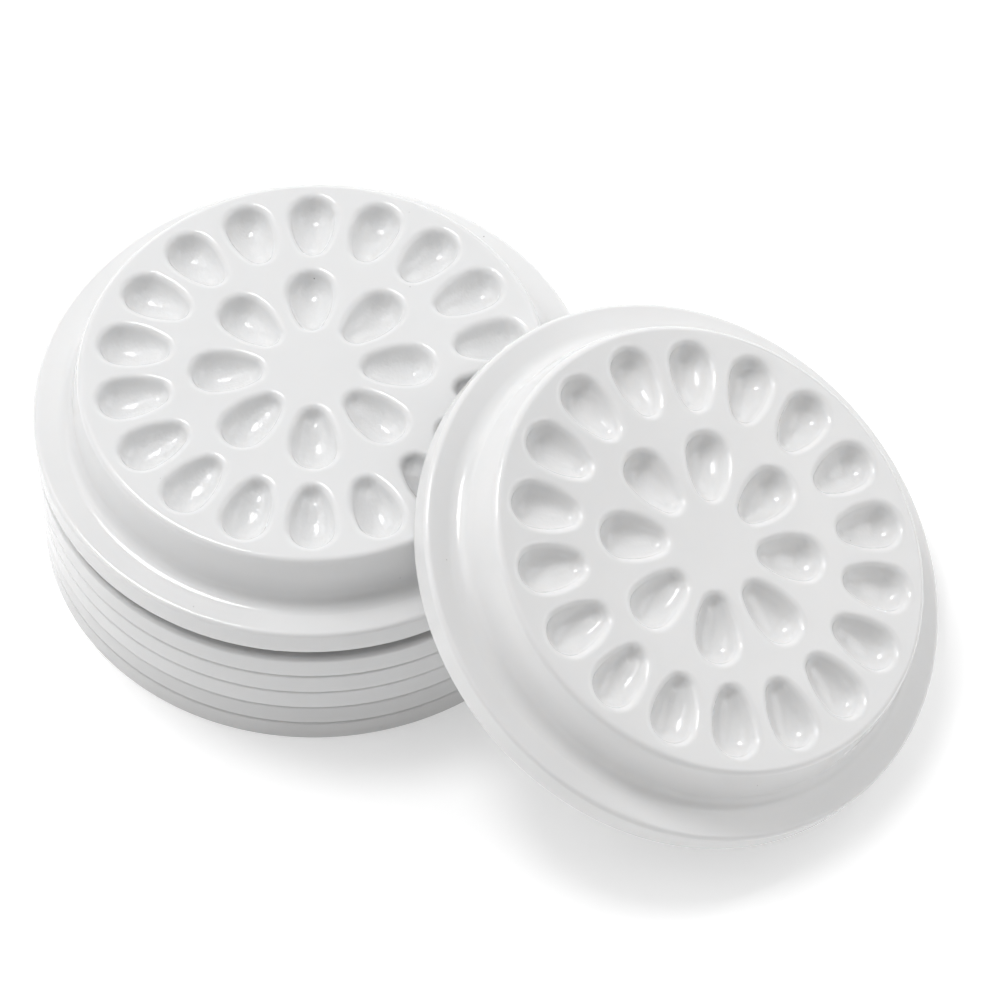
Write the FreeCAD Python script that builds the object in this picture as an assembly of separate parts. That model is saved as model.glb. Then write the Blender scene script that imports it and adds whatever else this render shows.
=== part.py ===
import FreeCAD, Part
import math
import os

from FreeCAD import Placement, Rotation, Vector

# Seven equal mixing palettes: six nested in a stack and one leaning on it. Millimetres, +Z up.
# The finished assembly stands on z = 0 with the middle of its bounding box above the origin.

# Driving dimensions of one palette
WALL = 0.4                     # thickness of the plastic sheet everywhere
PLATEAU_RADIUS = 26.15         # raised round plateau, at its top corner
PLATEAU_BASE_RADIUS = 27.25    # where the drafted plateau wall meets the flange
FLANGE_RADIUS = 31.5           # flange, at its outer corner
RIM_RADIUS = 31.7              # foot of the turned-down skirt
SKIRT_HEIGHT = 3.05            # foot to flange top
PLATEAU_RISE = 6.6             # flange top to plateau top
PLATEAU_FILLET = 0.8
BASE_FILLET = 1.8
FLANGE_FILLET = 0.5
PALETTE_HEIGHT = SKIRT_HEIGHT + PLATEAU_RISE

# Driving dimensions of one egg-shaped well, all measured in the plateau's top plane
BELLY_RADIUS = 2.55            # blunt end, and so the well's greatest depth
TIP_RADIUS = 1.6               # narrow end, which points at the palette's centre
WELL_LENGTH = 8.0
WELL_SIDE_RADIUS = 9.0         # long arcs that join the two ends
LIP_FILLET = 0.6
OUTER_WELLS = 18
OUTER_WELL_RADIUS = 20.1       # ring through the middles of the wells
INNER_WELLS = 8
INNER_WELL_RADIUS = 9.5
INNER_RING_TURN = 1.1          # the inner ring is turned a hair against the outer one
FIRST_WELL_ANGLE = 90.0        # one well of each ring lies on this direction

# The stack, from the bottom palette up: the step up from the palette below, its turn, and its small
# sideways offset. No two palettes in a loose nest sit alike.
STACK = [
    (0.0, 6.0, (0.0, 0.0)),
    (3.1, -7.0, (0.03, 0.02)),
    (3.1, 11.0, (-0.03, 0.0)),
    (3.15, 4.0, (0.02, -0.03)),
    (3.1, -4.0, (0.0, 0.03)),
    (4.8, 1.0, (-0.03, 0.0)),
]
STACK_TOP = sum(step for step, turn, offset in STACK) + PALETTE_HEIGHT

# The leaning palette: one edge of its rim on the table, the rim's far side on the top plateau
LEAN_REACH = 44.8              # stack axis to the middle of the leaning rim, measured level
LEAN_AZIMUTH = -26.1           # direction of the lean seen from above, from +X
LEAN_TURN = 75.0               # turn about its own axis
LEAN_CLEARANCE = 0.06          # gap left between its rim and the plateau it rests on
TILT_RANGE = (15.0, 40.0)      # degrees between which the tilt is looked for
TILT_HALVINGS = 40             # times that range is halved
RIM_SAMPLES = 1800             # steps taken along the raised quarter of the rim

LEVEL_TOLERANCE = 1e-4         # for edges taken to lie in the plateau's top plane


def rounded_path(points, radii):
    """Edges of an open path through (x, z) points, with each inner corner rounded to its radius."""
    edges = []
    start = Vector(points[0][0], 0, points[0][1])
    for i in range(1, len(points) - 1):
        before = Vector(points[i - 1][0], 0, points[i - 1][1])
        corner = Vector(points[i][0], 0, points[i][1])
        after = Vector(points[i + 1][0], 0, points[i + 1][1])
        into = (before - corner).normalize()
        out = (after - corner).normalize()
        half = into.getAngle(out) / 2
        setback = radii[i - 1] / math.tan(half)
        centre = corner + (into + out).normalize() * (radii[i - 1] / math.sin(half))
        middle = centre + (corner - centre).normalize() * radii[i - 1]
        enter = corner + into * setback
        leave = corner + out * setback
        edges.append(Part.LineSegment(start, enter).toShape())
        edges.append(Part.Arc(enter, middle, leave).toShape())
        start = leave
    end = Vector(points[-1][0], 0, points[-1][1])
    edges.append(Part.LineSegment(start, end).toShape())
    return edges


def inner_corners(points):
    """The (x, z) corners of a path moved inwards by the wall thickness, mitred at each corner."""
    lines = []
    for (x0, z0), (x1, z1) in zip(points, points[1:]):
        length = math.hypot(x1 - x0, z1 - z0)
        inward = ((z1 - z0) / length, -(x1 - x0) / length)
        lines.append(((x0 + inward[0] * WALL, z0 + inward[1] * WALL), (x1 - x0, z1 - z0)))
    moved = [(0.0, points[0][1] - WALL)]
    for ((ax, az), (adx, adz)), ((bx, bz), (bdx, bdz)) in zip(lines, lines[1:]):
        along = ((bx - ax) * bdz - (bz - az) * bdx) / (adx * bdz - adz * bdx)
        moved.append((ax + adx * along, az + adz * along))
    (x, z), (dx, dz) = lines[-1]
    moved.append((x - dx * z / dz, 0.0))
    return moved


def turned_shell():
    """The palette without its wells: a thin turned shell."""
    outer = [
        (0.0, PALETTE_HEIGHT),
        (PLATEAU_RADIUS, PALETTE_HEIGHT),
        (PLATEAU_BASE_RADIUS, SKIRT_HEIGHT),
        (FLANGE_RADIUS, SKIRT_HEIGHT),
        (RIM_RADIUS, 0.0),
    ]
    inner = inner_corners(outer)
    outer_edges = rounded_path(outer, [PLATEAU_FILLET, BASE_FILLET, FLANGE_FILLET])
    inner_edges = rounded_path(
        inner, [PLATEAU_FILLET - WALL, BASE_FILLET + WALL, FLANGE_FILLET - WALL]
    )
    foot = Part.LineSegment(Vector(RIM_RADIUS, 0, 0), Vector(inner[-1][0], 0, 0)).toShape()
    axis = Part.LineSegment(Vector(0, 0, inner[0][1]), Vector(0, 0, PALETTE_HEIGHT)).toShape()
    wire = Part.Wire(Part.__sortEdges__([axis, *outer_edges, foot, *inner_edges]))
    return Part.Face(wire).revolve(Vector(0, 0, 0), Vector(0, 0, 1), 360)


def egg(grow):
    """An egg turned about X, its middle at the origin and its tip towards -X, grown by a distance."""
    span = WELL_LENGTH - BELLY_RADIUS - TIP_RADIUS
    to_belly = WELL_SIDE_RADIUS - BELLY_RADIUS
    to_tip = WELL_SIDE_RADIUS - TIP_RADIUS
    back = (to_tip**2 - to_belly**2 - span**2) / (2 * span)
    belly = Vector(WELL_LENGTH / 2 - BELLY_RADIUS, 0, 0)
    tip = belly - Vector(span, 0, 0)
    side = belly + Vector(back, -math.sqrt(to_belly**2 - back**2), 0)
    side_radius = WELL_SIDE_RADIUS + grow
    belly_radius = BELLY_RADIUS + grow
    tip_radius = TIP_RADIUS + grow

    def on(centre, direction, radius):
        return centre + Vector(direction).normalize() * radius

    tip_end = tip - Vector(tip_radius, 0, 0)
    tip_join = on(tip, tip - side, tip_radius)
    belly_join = on(belly, belly - side, belly_radius)
    belly_end = belly + Vector(belly_radius, 0, 0)
    tip_middle = on(tip, (tip_end - tip) + (tip_join - tip), tip_radius)
    side_middle = on(side, (tip_join - side) + (belly_join - side), side_radius)
    belly_middle = on(belly, (belly_end - belly) + (belly_join - belly), belly_radius)
    edges = [
        Part.Arc(tip_end, tip_middle, tip_join).toShape(),
        Part.Arc(tip_join, side_middle, belly_join).toShape(),
        Part.Arc(belly_join, belly_middle, belly_end).toShape(),
        Part.LineSegment(belly_end, tip_end).toShape(),
    ]
    return Part.Face(Part.Wire(edges)).revolve(Vector(0, 0, 0), Vector(1, 0, 0), 360)


def at_each_well(shape):
    """Copies of a shape at the middle of every well, pointing away from the palette's axis."""
    copies = []
    rings = (
        (OUTER_WELLS, OUTER_WELL_RADIUS, FIRST_WELL_ANGLE),
        (INNER_WELLS, INNER_WELL_RADIUS, FIRST_WELL_ANGLE + INNER_RING_TURN),
    )
    for count, radius, first in rings:
        for i in range(count):
            turn = Rotation(Vector(0, 0, 1), first + 360 * i / count)
            place = turn.multVec(Vector(radius, 0, PALETTE_HEIGHT))
            copy = shape.copy()
            copy.Placement = Placement(place, turn)
            copies.append(copy)
    return copies


def is_lip(edge):
    """True for an edge around the mouth of a well, in the plateau's top plane."""
    box = edge.BoundBox
    below = abs(box.ZMin - PALETTE_HEIGHT)
    above = abs(box.ZMax - PALETTE_HEIGHT)
    level = max(below, above) < LEVEL_TOLERANCE
    near_rim = PLATEAU_RADIUS - 2 * PLATEAU_FILLET
    return level and edge.CenterOfMass.sub(Vector(0, 0, PALETTE_HEIGHT)).Length < near_rim \
        and box.XLength < near_rim


def palette():
    """One palette, its rim's foot on z = 0 and its axis on Z."""
    side = 2 * WELL_LENGTH
    corner = Vector(-side / 2, -side / 2, -side - WALL / 2)
    bowl = egg(WALL).common(Part.makeBox(side, side, side, corner))
    shell = turned_shell().fuse(at_each_well(bowl))
    shell = shell.cut(at_each_well(egg(0.0)))
    shell = shell.removeSplitter()
    shell = shell.makeFillet(LIP_FILLET, [e for e in shell.Edges if is_lip(e)])
    return shell.Solids[0]


def profile_height(radius):
    """Height of a palette's upper surface at a radius, above its own foot."""
    draft = (PLATEAU_BASE_RADIUS - PLATEAU_RADIUS) / PLATEAU_RISE
    slope_angle = math.atan2(1, draft)
    setback = PLATEAU_FILLET * math.tan(slope_angle / 2)
    flat = PLATEAU_RADIUS - setback
    if radius <= flat:
        return PALETTE_HEIGHT
    if radius <= flat + PLATEAU_FILLET * math.sin(slope_angle):
        drop = PLATEAU_FILLET - math.sqrt(PLATEAU_FILLET**2 - (radius - flat) ** 2)
        return PALETTE_HEIGHT - drop
    if radius <= PLATEAU_BASE_RADIUS:
        return PALETTE_HEIGHT - (radius - PLATEAU_RADIUS) / draft
    if radius <= RIM_RADIUS:
        return SKIRT_HEIGHT
    return -STACK_TOP


def lean_gap(tilt):
    """Smallest height of the leaning rim over the top palette's upper surface at a tilt."""
    top_foot = STACK_TOP - PALETTE_HEIGHT
    middle = RIM_RADIUS * math.sin(tilt)
    gaps = []
    for ring in (RIM_RADIUS, RIM_RADIUS - WALL):
        for i in range(RIM_SAMPLES + 1):
            turn = math.pi / 2 * i / RIM_SAMPLES
            reach = LEAN_REACH - ring * math.cos(tilt) * math.cos(turn)
            aside = ring * math.sin(turn)
            height = middle + ring * math.sin(tilt) * math.cos(turn)
            gaps.append(height - top_foot - profile_height(math.hypot(reach, aside)))
    return min(gaps)


def resting_tilt():
    """The tilt, in radians, at which the leaning rim comes down onto the top palette."""
    low, high = (math.radians(tilt) for tilt in TILT_RANGE)
    for _ in range(TILT_HALVINGS):
        middle = (low + high) / 2
        if lean_gap(middle) < LEAN_CLEARANCE:
            low = middle
        else:
            high = middle
    return high


def leaning_placement():
    tilt = resting_tilt()
    azimuth = Rotation(Vector(0, 0, 1), LEAN_AZIMUTH)
    lean = Rotation(Vector(0, 1, 0), math.degrees(tilt))
    own_turn = Rotation(Vector(0, 0, 1), LEAN_TURN)
    middle = azimuth.multVec(Vector(LEAN_REACH, 0, RIM_RADIUS * math.sin(tilt)))
    print("leaning palette's tilt: %.2f degrees" % math.degrees(tilt))
    return Placement(middle, azimuth.multiply(lean).multiply(own_turn))


def main():
    one = palette()
    placements = {}
    height = 0.0
    for number, (step, turn, (aside, back)) in enumerate(STACK, start=1):
        height += step
        spin = Rotation(Vector(0, 0, 1), turn)
        placements["palette_%d" % number] = Placement(Vector(aside, back, height), spin)
    placements["leaning_palette"] = leaning_placement()

    pieces = {}
    for name, placement in placements.items():
        piece = one.copy()
        piece.Placement = placement
        pieces[name] = piece
    box = Part.makeCompound(list(pieces.values())).optimalBoundingBox(False, False)
    shift = Vector(-box.Center.x, -box.Center.y, -box.ZMin)

    os.makedirs("parts", exist_ok=True)
    for name, piece in pieces.items():
        piece.translate(shift)
        piece.exportStep("parts/%s.step" % name)
        print(name, "valid", piece.isValid(), "closed", piece.isClosed(), "%.1f mm3" % piece.Volume)
    print("size %.2f x %.2f x %.2f mm" % (box.XLength, box.YLength, box.ZLength))
    print("stack axis at %.3f, %.3f mm" % (shift.x, shift.y))


main()
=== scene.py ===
import math

import bpy
import numpy as np
from mathutils import Matrix, Vector
from mathutils.geometry import delaunay_2d_cdt


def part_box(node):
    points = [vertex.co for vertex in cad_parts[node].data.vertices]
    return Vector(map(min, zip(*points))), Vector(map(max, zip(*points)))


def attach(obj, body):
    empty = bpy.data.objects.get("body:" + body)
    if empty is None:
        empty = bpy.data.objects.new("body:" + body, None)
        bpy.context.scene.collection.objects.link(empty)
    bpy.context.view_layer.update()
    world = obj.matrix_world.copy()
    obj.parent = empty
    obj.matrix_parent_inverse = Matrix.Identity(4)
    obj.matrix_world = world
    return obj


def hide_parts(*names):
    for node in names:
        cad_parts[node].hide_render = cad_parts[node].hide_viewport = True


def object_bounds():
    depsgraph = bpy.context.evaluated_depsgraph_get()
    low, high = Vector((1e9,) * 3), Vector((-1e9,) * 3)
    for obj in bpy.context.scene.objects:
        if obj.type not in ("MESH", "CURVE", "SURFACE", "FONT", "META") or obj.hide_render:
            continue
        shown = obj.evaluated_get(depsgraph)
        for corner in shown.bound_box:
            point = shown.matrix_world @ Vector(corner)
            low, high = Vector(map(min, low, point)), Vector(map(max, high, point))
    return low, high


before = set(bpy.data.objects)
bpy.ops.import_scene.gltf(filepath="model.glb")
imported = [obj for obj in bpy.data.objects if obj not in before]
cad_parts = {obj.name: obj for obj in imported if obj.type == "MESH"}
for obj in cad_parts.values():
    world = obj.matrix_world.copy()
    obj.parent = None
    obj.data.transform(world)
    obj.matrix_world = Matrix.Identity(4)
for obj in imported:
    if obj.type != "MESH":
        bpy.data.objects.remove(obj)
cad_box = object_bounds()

# Seven equal mixing palettes of glossy white plastic. Shape values are in millimetres, and MM turns
# them into metres when a mesh is made. They are the CAD model's, apart from the few marked as softened
# or wider here, which stay inside its box.
MM = 0.001

# One palette
WALL = 0.4
PLATEAU_RADIUS = 26.15              # raised round plateau, at its top corner
PLATEAU_BASE_RADIUS = 27.25         # where the drafted plateau wall meets the flange
FLANGE_RADIUS = 31.53               # flange, at its outer corner, 0.03 wider for its softer edge
RIM_RADIUS = 31.7                   # foot of the CAD's skirt, which the lean is worked out from
FOOT_RADIUS = 31.6                  # foot of the skirt, softened by drawing it in 0.1
SKIRT_HEIGHT = 3.05
PLATEAU_RISE = 6.6
PLATEAU_FILLET = 0.8
BASE_FILLET = 1.8
FLANGE_FILLET = 0.6                 # softened
FOOT_FILLET = 0.12                  # softened, as the CAD's foot is sharp
PALETTE_HEIGHT = SKIRT_HEIGHT + PLATEAU_RISE

# One egg-shaped well
BELLY_RADIUS = 2.55
TIP_RADIUS = 1.6
WELL_LENGTH = 8.0
WELL_SIDE_RADIUS = 9.0             # long arcs that join the two ends
LIP_FILLET = 0.9                   # softened
UNDERSIDE_FILLET = 0.3             # softened, where a well's bump meets the underside
OUTER_RING = (18, 20.1, 90.0)      # wells, ring radius, direction of the first well
INNER_RING = (8, 9.5, 91.1)

# Mesh fineness
TURN_STEPS = 240                   # around a palette
TOP_EGG_STEPS = (5, 5, 9)          # on half an egg: tip, side, belly
UNDER_EGG_STEPS = (4, 4, 6)
TOP_RINGS = (6, 10)                # down a well: round its lip, and on to its keel
UNDER_RINGS = (3, 7)
CORNER_STEP = math.radians(10)     # turn between points round a corner of the section
FOOT_STEP = math.radians(30)
WELD_STEPS = 5000                  # per millimetre: points that round to the same step are one
HOLD = 0.08                        # narrow flat band that keeps the shading of flats flat
GRID = 1.1                         # spacing of points on the flats
HULL = 0                           # delaunay_2d_cdt's output type: all triangles, holes included
TOUCHING = 1e-6                    # points nearer than this count as one in it

# Each palette's turn about its own axis, as in the CAD model
TURNS = {
    "palette_1": 6.0,
    "palette_2": -7.0,
    "palette_3": 11.0,
    "palette_4": 4.0,
    "palette_5": -4.0,
    "palette_6": 1.0,
}
LEAN_REACH = 44.8                  # stack axis to the middle of the leaning rim, measured level
LEAN_AZIMUTH = -26.1
LEAN_TILT = 27.18
LEAN_TURN = 75.0

# The faint unevenness of the moulded sheet
RIPPLE_LENGTHS = (31.0, 19.0, 13.0)    # waves across the plateau, each lower than the one before
RIPPLE_HEIGHT = 0.012
RIPPLE_HEADINGS = (1.7, 2.1)           # radians from palette to palette, and from wave to wave
RIPPLE_PHASES = (2.9, 1.3)             # the same
RIPPLE_MARGIN = 1.2                    # flat border inside the plateau's edge
RIPPLE_FADE = 4.0
SAG_RADIUS = 29.3                      # the flange sags most here
SAG_HALF_WIDTH = 1.6
SAG_DEPTH = 0.02
SAG_CHANGE = 0.6                       # share by which the sag changes round the flange

# Tiny blisters in the wells
BLISTER_START = 0.6                 # depth below the plateau where they begin
BLISTER_FADE = 0.8                  # further depth over which they reach full strength
LEANING_BLISTERS = 0.35             # the leaning palette's are fainter than those of the stack

# Painted shade: the two lowest palettes are made a little greyer than the rest, standing in for the dimmer
# light low in the stack
PAINTED_SHADE_LEVELS = {"palette_1": 0.82, "palette_2": 0.88}

# The plastic and the floor's paper
PLASTIC_TONES = (0.835, 0.855)
TONE_ENDS = (0.3, 0.7)              # values of the noise that give those tones
PLASTIC_ROUGHNESS = (0.1, 0.17)
SPECKS_PER_METRE = 260.0            # places along a line where a speck may be
SPECK_RADIUS = 0.022                # as a share of the spacing between those places
CLEAN_SHARE = 0.55                  # share of those places that have no speck
SPECK_COLOUR = (0.3, 0.29, 0.28, 1)
FLOOR_TONES = (0.84, 0.87)


# ---------------------------------------------------------------- profiles

def rounded(points, radii, step=CORNER_STEP):
    """Points of a path with each inner corner rounded to its radius, and the outward normal at each."""
    path = []

    def side(a, b):
        along = (b - a).normalized()
        return Vector((-along.y, along.x))

    corners = [Vector(p) for p in points]
    path.append((corners[0], side(corners[0], corners[1])))
    for i, radius in enumerate(radii, start=1):
        before = side(corners[i - 1], corners[i])
        after = side(corners[i], corners[i + 1])
        turn = before.angle_signed(after)      # clockwise, so positive at a corner that stands out
        bulge = math.copysign(radius, turn)
        into = (corners[i] - corners[i - 1]).normalized()
        out = (corners[i + 1] - corners[i]).normalized()
        setback = radius * math.tan(abs(turn) / 2)
        start = corners[i] - into * setback
        centre = start - before * bulge
        path.append((start - into * HOLD, before))
        count = max(3, round(abs(turn) / step))
        for k in range(count + 1):
            normal = Matrix.Rotation(-turn * k / count, 2) @ before
            path.append((centre + normal * bulge, normal))
        path.append((corners[i] + out * (setback + HOLD), after))
    path.append((corners[-1], side(corners[-2], corners[-1])))
    return path


def shell_section():
    """Half section of the turned shell from the top flat, round the foot and back to the underside flat."""
    corners = [
        (PLATEAU_RADIUS - PLATEAU_FILLET, PALETTE_HEIGHT),
        (PLATEAU_RADIUS, PALETTE_HEIGHT),
        (PLATEAU_BASE_RADIUS, SKIRT_HEIGHT),
        (FLANGE_RADIUS, SKIRT_HEIGHT),
        (FOOT_RADIUS, 0.0),
    ]
    outer = rounded(corners, [PLATEAU_FILLET, BASE_FILLET, FLANGE_FILLET])
    inner = [point - normal * WALL for point, normal in reversed(outer)]
    outer = [point for point, normal in outer]
    foot_out = outer.pop()
    foot_in = inner.pop(0)
    foot_in.y = 0.0
    foot = rounded(
        [outer[-1], foot_out, foot_in, inner[0]], [FOOT_FILLET, FOOT_FILLET], FOOT_STEP
    )
    return outer[:-1] + [point for point, normal in foot] + inner[1:]


def half_egg(steps):
    """Points round half an egg, from tip to belly: the foot of each normal on the long axis, the
    normal's angle, and the egg's radius along it."""
    span = WELL_LENGTH - BELLY_RADIUS - TIP_RADIUS
    to_belly = WELL_SIDE_RADIUS - BELLY_RADIUS
    to_tip = WELL_SIDE_RADIUS - TIP_RADIUS
    back = (to_tip**2 - to_belly**2 - span**2) / (2 * span)
    belly_x = WELL_LENGTH / 2 - BELLY_RADIUS
    tip_x = belly_x - span
    side_x = belly_x + back
    side_y = -math.sqrt(to_belly**2 - back**2)
    tip_turn = math.atan2(-side_y, tip_x - side_x)
    belly_turn = math.atan2(-side_y, belly_x - side_x)
    points = []
    for k in range(steps[0]):
        angle = math.pi + (tip_turn - math.pi) * k / steps[0]
        points.append((tip_x, angle, TIP_RADIUS))
    for k in range(steps[1]):
        angle = tip_turn + (belly_turn - tip_turn) * k / steps[1]
        along = side_x - side_y / math.tan(angle)
        points.append((along, angle, WELL_SIDE_RADIUS + side_y / math.sin(angle)))
    for k in range(steps[2] + 1):
        angle = belly_turn * (1 - k / steps[2])
        points.append((belly_x, angle, BELLY_RADIUS))
    return points


def whole_egg(steps):
    """The same all the way round, counter-clockwise from the belly's end."""
    half = half_egg(steps)
    near = list(reversed(half))
    far = [(x, 2 * math.pi - angle, radius) for x, angle, radius in half[1:-1]]
    return near + far


def well_rings(steps, grow, level, fillet, fillet_steps, bowl_steps):
    """Rings of points from the flat round a well down to its keel. The well's skin is the egg grown by
    a distance, and the flat that it blends into lies at a level under the plateau's top."""
    rings = []
    egg = whole_egg(steps)
    drop = fillet - level
    for k in range(-1, fillet_steps + 1):
        ring = []
        for x, angle, radius in egg:
            ball = radius + grow + fillet
            reach = math.sqrt(ball**2 - drop**2)
            turn = math.acos(drop / ball) * max(k, 0) / fillet_steps
            out = reach - fillet * math.sin(turn) + (HOLD if k < 0 else 0)
            height = -drop + fillet * math.cos(turn)
            ring.append((x + out * math.cos(angle), out * math.sin(angle), height))
        rings.append(ring)
    for k in range(1, bowl_steps + 1):
        ring = []
        for x, angle, radius in egg:
            skin = radius + grow
            first = math.asin(drop / (skin + fillet))
            turn = first + (math.pi / 2 - first) * k / bowl_steps
            out = skin * math.cos(turn)
            ring.append((x + out * math.cos(angle), out * math.sin(angle), -skin * math.sin(turn)))
        rings.append(ring)
    return np.array(rings)


# ---------------------------------------------------------------- one palette's mesh

class Surface:
    """Vertices and faces gathered piece by piece, welded at the end."""

    def __init__(self):
        self.points = []
        self.faces = []
        self.count = 0

    def add(self, points, faces):
        self.points.append(np.asarray(points, float))
        self.faces.extend([i + self.count for i in face] for face in faces)
        self.count += len(points)

    def welded(self):
        points = np.vstack(self.points)
        keys = np.round(points * WELD_STEPS).astype(np.int64)
        _, first, where = np.unique(keys, axis=0, return_index=True, return_inverse=True)
        where = where.ravel()
        faces = []
        for face in self.faces:
            corners = []
            for i in face:
                j = int(where[i])
                if j not in corners:
                    corners.append(j)
            if len(corners) > 2:
                faces.append(corners)
        return points[first], faces


def strip_faces(rings, around, inwards):
    """Quads between closed rings of points, seen from outside the plastic."""
    faces = []
    for i in range(rings - 1):
        for j in range(around):
            a = i * around + j
            b = i * around + (j + 1) % around
            c = b + around
            d = a + around
            faces.append([a, b, c, d] if inwards else [a, d, c, b])
    return faces


def well_places():
    """Turn and middle of every well."""
    places = []
    for count, radius, first in (OUTER_RING, INNER_RING):
        for i in range(count):
            turn = math.radians(first + 360 * i / count)
            places.append((turn, radius * math.cos(turn), radius * math.sin(turn)))
    return places


def put_well(rings, turn, x, y):
    """A well's rings, laid out from its own axes into the palette's."""
    placed = rings.reshape(-1, 3).copy()
    along = placed[:, 0].copy()
    across = placed[:, 1].copy()
    placed[:, 0] = x + along * math.cos(turn) - across * math.sin(turn)
    placed[:, 1] = y + along * math.sin(turn) + across * math.cos(turn)
    placed[:, 2] += PALETTE_HEIGHT
    return placed


def inside(loop, points, margin):
    """True for the points inside a convex counter-clockwise loop, or nearer to it than the margin."""
    ahead = np.roll(loop, -1, axis=0)
    edge = ahead - loop
    edge = edge / np.linalg.norm(edge, axis=1)[:, None]
    rel = points[:, None, :] - loop[None, :, :]
    off = edge[None, :, 0] * rel[:, :, 1] - edge[None, :, 1] * rel[:, :, 0]
    return off.min(axis=1) > -margin


def flat(rim, mouths, level, up):
    """Triangles of a flat round sheet with a hole at each well's mouth."""
    size = rim[:, 0].max()
    rows = np.arange(-size, size, GRID * math.sqrt(3) / 2)
    grid = []
    for n, y in enumerate(rows):
        xs = np.arange(-size, size, GRID) + (GRID / 2 if n % 2 else 0)
        grid.extend((x, y) for x in xs)
    grid = np.array(grid)
    grid = grid[np.linalg.norm(grid, axis=1) < size - GRID / 2]
    for mouth in mouths:
        grid = grid[~inside(mouth, grid, GRID / 3)]
    loops = [rim] + mouths
    points = np.vstack(loops + [grid])
    edges = []
    owner = np.full(len(points), -1)
    start = 0
    for n, loop in enumerate(loops):
        edges.extend((start + i, start + (i + 1) % len(loop)) for i in range(len(loop)))
        owner[start:start + len(loop)] = n
        start += len(loop)
    found = delaunay_2d_cdt([Vector(p) for p in points], edges, [], HULL, TOUCHING)
    faces = []
    for a, b, c in found[2]:
        i, j, k = sorted(found[3][corner][0] for corner in (a, b, c))
        if owner[i] == owner[j] == owner[k] > 0:
            across = points[j] - points[i]
            over = points[k] - points[i]
            if across[0] * over[1] > across[1] * over[0]:      # it spans the hole
                continue
        faces.append([a, b, c] if up else [c, b, a])
    sheet = np.array([(*points[origins[0]], level) for origins in found[3]])
    return sheet, faces


def palette_mesh():
    """Points and faces of one palette, its foot on z = 0 and its axis on Z."""
    surface = Surface()
    section = shell_section()
    turns = np.arange(TURN_STEPS) * 2 * math.pi / TURN_STEPS
    lathe = [
        np.column_stack([p.x * np.cos(turns), p.x * np.sin(turns), np.full(TURN_STEPS, p.y)])
        for p in section
    ]
    surface.add(np.vstack(lathe), strip_faces(len(section), TURN_STEPS, False))

    top = well_rings(TOP_EGG_STEPS, 0.0, 0.0, LIP_FILLET, *TOP_RINGS)
    under = well_rings(UNDER_EGG_STEPS, WALL, -WALL, UNDERSIDE_FILLET, *UNDER_RINGS)
    top_mouths = []
    under_mouths = []
    for place in well_places():
        bowl = put_well(top, *place)
        surface.add(bowl, strip_faces(len(top), top.shape[1], True))
        top_mouths.append(bowl[:top.shape[1], :2])
        bowl = put_well(under, *place)
        surface.add(bowl, strip_faces(len(under), under.shape[1], False))
        under_mouths.append(bowl[:under.shape[1], :2])
    surface.add(*flat(lathe[0][:, :2], top_mouths, PALETTE_HEIGHT, True))
    surface.add(*flat(lathe[-1][:, :2], under_mouths, PALETTE_HEIGHT - WALL, False))
    return surface.welded()


def eased(share):
    """A share from 0 to 1, kept in that range and eased at both ends."""
    kept = np.clip(share, 0, 1)
    return kept**2 * (3 - 2 * kept)


def warp(points, seed):
    """The same points with the faint unevenness of a moulded sheet, different for each palette."""
    warped = points.copy()
    x, y = points[:, 0], points[:, 1]
    away = np.hypot(x, y)
    round_about = np.arctan2(y, x)
    ripple = np.zeros(len(points))
    for k, length in enumerate(RIPPLE_LENGTHS):
        heading = seed * RIPPLE_HEADINGS[0] + k * RIPPLE_HEADINGS[1]
        phase = seed * RIPPLE_PHASES[0] + k * RIPPLE_PHASES[1]
        way = x * math.cos(heading) + y * math.sin(heading)
        ripple += np.sin(way * 2 * math.pi / length + phase) / (k + 1)
    on_plateau = eased((PLATEAU_RADIUS - RIPPLE_MARGIN - away) / RIPPLE_FADE)
    warped[:, 2] += RIPPLE_HEIGHT * ripple * on_plateau
    on_flange = eased(1 - np.abs(away - SAG_RADIUS) / SAG_HALF_WIDTH)
    sag = SAG_DEPTH * (1 + SAG_CHANGE * np.sin(3 * round_about + seed))
    warped[:, 2] -= sag * on_flange
    return warped


# ---------------------------------------------------------------- materials

def node(tree, kind, **values):
    """A shader node with its settings, and with values on its inputs by name."""
    made = tree.nodes.new(kind)
    for key, value in values.items():
        if hasattr(made, key):
            setattr(made, key, value)
        else:
            made.inputs[key.replace("_", " ")].default_value = value
    return made


def grey(level):
    return (level, level, level, 1)


def faint_tones(tree, here):
    """The plastic's colour, which drifts between two nearly equal whites."""
    drift = node(tree, "ShaderNodeTexNoise", Scale=90.0, Detail=3.0)
    tree.links.new(here, drift.inputs["Vector"])
    tones = node(tree, "ShaderNodeValToRGB")
    for element, end, level in zip(tones.color_ramp.elements, TONE_ENDS, PLASTIC_TONES):
        element.position = end
        element.color = grey(level)
    tree.links.new(drift.outputs["Fac"], tones.inputs["Fac"])
    return tones.outputs["Color"]


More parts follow.
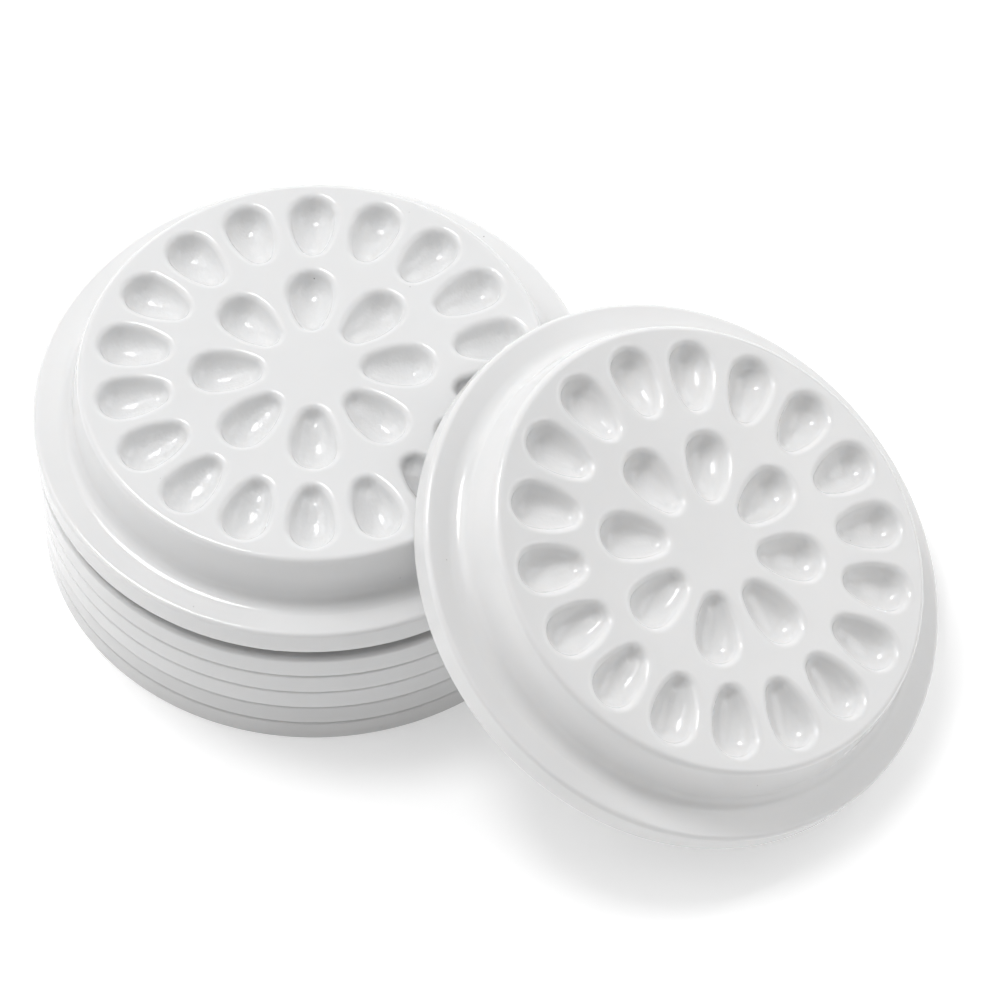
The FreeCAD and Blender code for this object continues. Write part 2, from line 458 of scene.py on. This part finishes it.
def with_specks(tree, here, clean):
    """A colour with tiny dark specks scattered over it, some fainter than others."""
    link = tree.links.new
    specks = node(tree, "ShaderNodeTexVoronoi", Scale=SPECKS_PER_METRE)
    link(here, specks.inputs["Vector"])
    near = node(tree, "ShaderNodeMath", operation="LESS_THAN")
    near.inputs[1].default_value = SPECK_RADIUS
    link(specks.outputs["Distance"], near.inputs[0])
    chance = node(tree, "ShaderNodeSeparateColor")
    link(specks.outputs["Color"], chance.inputs["Color"])
    few = node(tree, "ShaderNodeMath", operation="GREATER_THAN")
    few.inputs[1].default_value = CLEAN_SHARE
    link(chance.outputs["Red"], few.inputs[0])
    dark = node(tree, "ShaderNodeMath", operation="MULTIPLY")
    link(near.outputs["Value"], dark.inputs[0])
    link(few.outputs["Value"], dark.inputs[1])
    faint = node(tree, "ShaderNodeMath", operation="MULTIPLY")
    link(dark.outputs["Value"], faint.inputs[0])
    link(chance.outputs["Green"], faint.inputs[1])
    colour = node(tree, "ShaderNodeMix", data_type="RGBA")
    colour.inputs["B"].default_value = SPECK_COLOUR
    link(faint.outputs["Value"], colour.inputs["Factor"])
    link(clean, colour.inputs["A"])
    return colour.outputs["Result"]


def with_painted_shade(tree, colour):
    """A colour multiplied by the palette's painted shade, which darkens the lowest palettes of the stack.
    """
    painted_shade = node(tree, "ShaderNodeAttribute", attribute_name="painted_shade")
    shaded = node(tree, "ShaderNodeMix", data_type="RGBA", blend_type="MULTIPLY")
    shaded.inputs["Factor"].default_value = 1.0
    tree.links.new(colour, shaded.inputs["A"])
    tree.links.new(painted_shade.outputs["Color"], shaded.inputs["B"])
    return shaded.outputs["Result"]


def uneven_gloss(tree, here):
    haze = node(tree, "ShaderNodeTexNoise", Scale=160.0, Detail=4.0)
    tree.links.new(here, haze.inputs["Vector"])
    gloss = node(tree, "ShaderNodeMapRange", To_Min=PLASTIC_ROUGHNESS[0], To_Max=PLASTIC_ROUGHNESS[1])
    tree.links.new(haze.outputs["Fac"], gloss.inputs["Value"])
    return gloss.outputs["Result"]


def relief(tree, here):
    """The surface's direction, with a faint skin all over and blisters in the wells."""
    link = tree.links.new
    peel = node(tree, "ShaderNodeTexNoise", Scale=900.0, Detail=2.0)
    link(here, peel.inputs["Vector"])
    skin = node(tree, "ShaderNodeBump", Strength=0.05, Distance=0.00005)
    link(peel.outputs["Fac"], skin.inputs["Height"])
    pimples = node(tree, "ShaderNodeTexNoise", Scale=2100.0, Detail=1.0)
    link(here, pimples.inputs["Vector"])
    wells = node(tree, "ShaderNodeAttribute", attribute_name="blisters")
    blisters = node(tree, "ShaderNodeBump", Distance=0.000045)
    link(wells.outputs["Fac"], blisters.inputs["Strength"])
    link(pimples.outputs["Fac"], blisters.inputs["Height"])
    link(skin.outputs["Normal"], blisters.inputs["Normal"])
    return blisters.outputs["Normal"]


def white_plastic():
    """Glossy white polystyrene that lets some light through."""
    material = bpy.data.materials.new("white_plastic")
    material.use_nodes = True
    tree = material.node_tree
    link = tree.links.new
    shader = tree.nodes["Principled BSDF"]
    shader.inputs["IOR"].default_value = 1.55
    shader.inputs["Subsurface Weight"].default_value = 1.0
    shader.inputs["Subsurface Radius"].default_value = (1.0, 0.97, 0.94)
    shader.inputs["Subsurface Scale"].default_value = 0.0005
    here = node(tree, "ShaderNodeTexCoord").outputs["Object"]
    colour = with_specks(tree, here, faint_tones(tree, here))
    # the base colour carries painted shade, darker on the two lowest palettes
    link(with_painted_shade(tree, colour), shader.inputs["Base Color"])
    link(uneven_gloss(tree, here), shader.inputs["Roughness"])
    link(relief(tree, here), shader.inputs["Normal"])
    return material


def floor_paper():
    """Matt white paper with a barely visible tooth."""
    material = bpy.data.materials.new("floor_paper")
    material.use_nodes = True
    tree = material.node_tree
    shader = tree.nodes["Principled BSDF"]
    shader.inputs["Roughness"].default_value = 0.9
    shader.inputs["Specular IOR Level"].default_value = 0.1
    shader.inputs["Emission Color"].default_value = (1, 1, 1, 1)
    shader.inputs["Emission Strength"].default_value = FLOOR_GLOW
    tooth = node(tree, "ShaderNodeTexNoise", Scale=400.0, Detail=3.0)
    shades = node(tree, "ShaderNodeValToRGB")
    for element, level in zip(shades.color_ramp.elements, FLOOR_TONES):
        element.color = grey(level)
    tree.links.new(tooth.outputs["Fac"], shades.inputs["Fac"])
    tree.links.new(shades.outputs["Color"], shader.inputs["Base Color"])
    return material


# ---------------------------------------------------------------- palettes in place

def make_piece(name, points, faces, placement, material, cad_node, blisters):
    """One palette as a Blender object that stands for its CAD node. Its attributes tell the material
    how strongly the wells are blistered and how much painted shade darkens the plastic."""
    mesh = bpy.data.meshes.new(name)
    mesh.from_pydata([tuple(p) for p in points], [], faces)
    depth = (PALETTE_HEIGHT - BLISTER_START - points[:, 2]) / BLISTER_FADE
    in_well = np.hypot(points[:, 0], points[:, 1]) < PLATEAU_RADIUS - PLATEAU_FILLET
    roughened = mesh.attributes.new("blisters", "FLOAT", "POINT")
    roughened.data.foreach_set("value", np.where(in_well, np.clip(depth, 0, 1) * blisters, 0))
    # painted shade: a greyer plastic on the lowest palettes stands in for the dimmer light there
    painted_shade = mesh.attributes.new("painted_shade", "FLOAT", "POINT")
    painted_shade.data.foreach_set("value", np.full(len(points), PAINTED_SHADE_LEVELS.get(cad_node, 1.0)))
    mesh.transform(placement @ Matrix.Scale(MM, 4))
    mesh.shade_smooth()
    mesh.materials.append(material)
    piece = bpy.data.objects.new(name, mesh)
    bpy.context.scene.collection.objects.link(piece)
    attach(piece, cad_node)
    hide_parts(cad_node)


def stack_placement(cad_node):
    """A nested palette's place: its foot at the bottom of its CAD node, its axis in the middle."""
    low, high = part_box(cad_node)
    middle = (low + high) / 2
    turn = Matrix.Rotation(math.radians(TURNS[cad_node]), 4, "Z")
    return Matrix.Translation((middle.x, middle.y, low.z)) @ turn


def leaning_placement():
    """The leaning palette's place, worked out from the stack's axis and the lean."""
    low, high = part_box("palette_1")
    axis = (low + high) / 2
    azimuth = Matrix.Rotation(math.radians(LEAN_AZIMUTH), 4, "Z")
    tilt = math.radians(LEAN_TILT)
    reach = azimuth @ Vector((LEAN_REACH, 0, RIM_RADIUS * math.sin(tilt))) * MM
    lean = Matrix.Rotation(tilt, 4, "Y")
    own_turn = Matrix.Rotation(math.radians(LEAN_TURN), 4, "Z")
    return Matrix.Translation((axis.x + reach.x, axis.y + reach.y, reach.z)) @ azimuth @ lean @ own_turn


def make_palettes():
    points, faces = palette_mesh()
    plastic = white_plastic()
    for seed, cad_node in enumerate(TURNS):
        make_piece(
            "stacked_" + cad_node, warp(points, seed), faces, stack_placement(cad_node), plastic,
            cad_node, 1.0,
        )
    make_piece(
        "shown_leaning_palette", warp(points, len(TURNS)), faces, leaning_placement(), plastic,
        "leaning_palette", LEANING_BLISTERS,
    )


# ---------------------------------------------------------------- stage, light and camera

FLOOR_SIZE = 4.0
FLOOR_DROP = 0.00002               # keeps the floor just clear of the palettes' feet
FLOOR_GLOW = 0.31
WORLD_LIGHT = 0.06
CAMERA_DISTANCE = 0.6112           # from the middle of the stack's top plateau
CAMERA_ELEVATION = 54.74
CAMERA_TURN = 0.27
CAMERA_ROLL = 0.33
CAMERA_LENS = 200.0
CAMERA_SENSOR = 36.0
STACK_IN_VIEW = (-0.0203, 0.01416)   # stack's top plateau in the view, right and up, metres


def make_floor():
    mesh = bpy.data.meshes.new("floor")
    half = FLOOR_SIZE / 2
    corners = [(-half, -half, 0), (half, -half, 0), (half, half, 0), (-half, half, 0)]
    mesh.from_pydata(corners, [], [(0, 1, 2, 3)])
    mesh.materials.append(floor_paper())
    floor = bpy.data.objects.new("floor", mesh)
    floor.location.z = -FLOOR_DROP
    bpy.context.scene.collection.objects.link(floor)


def soft_light(name, azimuth, elevation, distance, size, radiance, round_box=False):
    """A softbox that faces the object from a direction, azimuth 0 being +X and 90 the back. Lengths are
    in metres, and the radiance is that of its lit face."""
    light = bpy.data.lights.new(name, "AREA")
    light.shape = "ELLIPSE" if round_box else "RECTANGLE"
    light.size, light.size_y = size
    area = size[0] * size[1] * (math.pi / 4 if round_box else 1)
    light.energy = radiance * math.pi * area
    lamp = bpy.data.objects.new(name, light)
    around = math.radians(azimuth)
    above = math.radians(elevation)
    way = Vector((math.cos(around) * math.cos(above), math.sin(around) * math.cos(above), math.sin(above)))
    low, high = cad_box
    middle = (Vector(low) + Vector(high)) / 2
    lamp.location = middle + way * distance
    lamp.rotation_euler = way.to_track_quat("Z", "Y").to_euler()
    bpy.context.scene.collection.objects.link(lamp)


def make_lights():
    soft_light("key", 138, 67, 1.2, (0.38, 0.38), 11.8, round_box=True)
    soft_light("overhead", 90, 88, 1.3, (2.2, 2.2), 0.58)
    soft_light("left_panel", 180, 25, 1.5, (1.8, 1.0), 0.9)
    soft_light("high_left_panel", 168, 50, 1.4, (0.9, 0.9), 1.4)
    soft_light("back_panel", 90, 25, 1.6, (2.4, 1.0), 1.1)
    soft_light("right_panel", 0, 26, 1.7, (1.6, 1.0), 1.6)
    world = bpy.data.worlds.new("studio")
    bpy.context.scene.world = world
    world.use_nodes = True
    background = world.node_tree.nodes["Background"]
    background.inputs["Color"].default_value = (1, 1, 1, 1)
    background.inputs["Strength"].default_value = WORLD_LIGHT


def make_camera():
    data = bpy.data.cameras.new("camera")
    data.lens = CAMERA_LENS
    data.sensor_width = CAMERA_SENSOR
    data.clip_end = 20.0
    camera = bpy.data.objects.new("camera", data)
    low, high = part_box("palette_6")
    top = Vector(((low.x + high.x) / 2, (low.y + high.y) / 2, high.z))
    turn = Matrix.Rotation(math.radians(CAMERA_TURN), 3, "Z")
    pitch = Matrix.Rotation(math.radians(90 - CAMERA_ELEVATION), 3, "X")
    roll = Matrix.Rotation(math.radians(-CAMERA_ROLL), 3, "Z")
    axes = turn @ pitch @ roll
    offset = Vector((-STACK_IN_VIEW[0], -STACK_IN_VIEW[1], CAMERA_DISTANCE))
    camera.matrix_world = Matrix.Translation(top + axes @ offset) @ axes.to_4x4()
    bpy.context.scene.collection.objects.link(camera)
    bpy.context.scene.camera = camera


make_palettes()
make_floor()
make_lights()
make_camera()
bpy.context.scene.view_settings.view_transform = "Standard"

bpy.context.view_layer.update()
